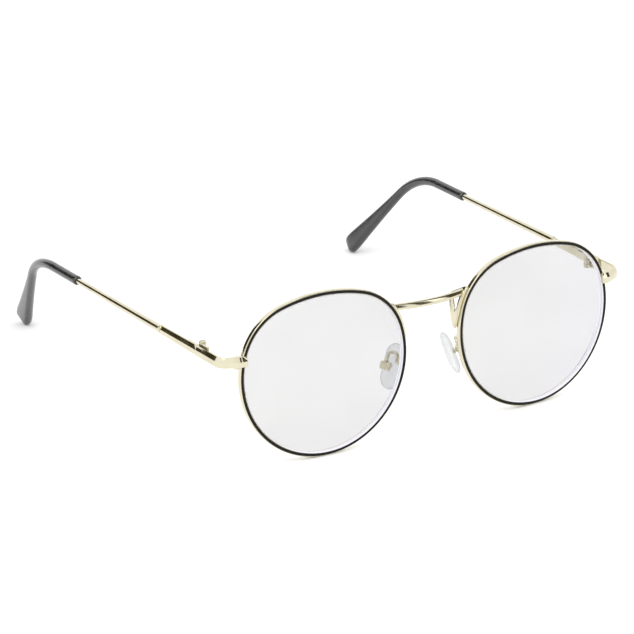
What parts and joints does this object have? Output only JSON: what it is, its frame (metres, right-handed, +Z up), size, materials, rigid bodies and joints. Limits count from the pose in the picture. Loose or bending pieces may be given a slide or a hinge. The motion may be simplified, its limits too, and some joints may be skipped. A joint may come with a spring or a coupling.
{
  "type": "eyeglasses",
  "caption": "Round wire-frame eyeglasses with an enamelled front, clear lenses, nose pads and folding temples with curved tips.",
  "frame": {"origin": "middle of the footprint on the plane that the glasses stand on, temples open", "axes": "+X to the wearer's left, front faces -Y, temples run to +Y, +Z up"},
  "size_m": [0.139, 0.1402, 0.049],
  "materials": {
    "gold": "polished pale gold plating",
    "enamel": "glossy black enamel",
    "lens": "clear with a faint blue-violet coating",
    "tip": "glossy black moulded sleeve",
    "pad": "clear soft plastic"
  },
  "bodies": {
    "front": {"bridge": "gold", "left_rim": "gold", "left_rim_enamel": "enamel", "left_lens": "lens", "left_closing_block_upper": "gold", "left_closing_block_lower": "gold", "left_closing_screw": "gold", "left_end_piece": "gold", "left_front_hinge": "gold", "left_hinge_screw": "gold", "left_pad_arm": "gold", "left_pad_box": "gold", "left_pad_screw": "gold", "right_rim": "gold", "right_rim_enamel": "enamel", "right_lens": "lens", "right_closing_block_upper": "gold", "right_closing_block_lower": "gold", "right_closing_screw": "gold", "right_end_piece": "gold", "right_front_hinge": "gold", "right_hinge_screw": "gold", "right_pad_arm": "gold", "right_pad_box": "gold", "right_pad_screw": "gold"},
    "left_arm": {"left_temple_hinge": "gold", "left_temple": "gold", "left_temple_tip": "tip"},
    "right_arm": {"right_temple_hinge": "gold", "right_temple": "gold", "right_temple_tip": "tip"},
    "left_pad": {"left_pad_lug": "gold", "left_nose_pad": "pad"},
    "right_pad": {"right_pad_lug": "gold", "right_nose_pad": "pad"}
  },
  "joints": [
    {"name": "left_temple_fold", "type": "hinge", "parent": "front", "child": "left_arm", "pos_m": [0.06625, -0.05089, 0.03312], "axis": [0, 0.0175, 0.9998], "range_deg": [0, 90]},
    {"name": "right_temple_fold", "type": "hinge", "parent": "front", "child": "right_arm", "pos_m": [-0.06625, -0.05089, 0.03312], "axis": [0, -0.0175, -0.9998], "range_deg": [0, 84]},
    {"name": "left_pad_rock", "type": "hinge", "parent": "front", "child": "left_pad", "pos_m": [0.0128, -0.06319, 0.0208], "axis": [0.2588, 0.9659, 0], "range_deg": [-10, 10]},
    {"name": "right_pad_rock", "type": "hinge", "parent": "front", "child": "right_pad", "pos_m": [-0.0128, -0.06319, 0.0208], "axis": [-0.2588, 0.9659, 0], "range_deg": [-10, 10]}
  ]
}
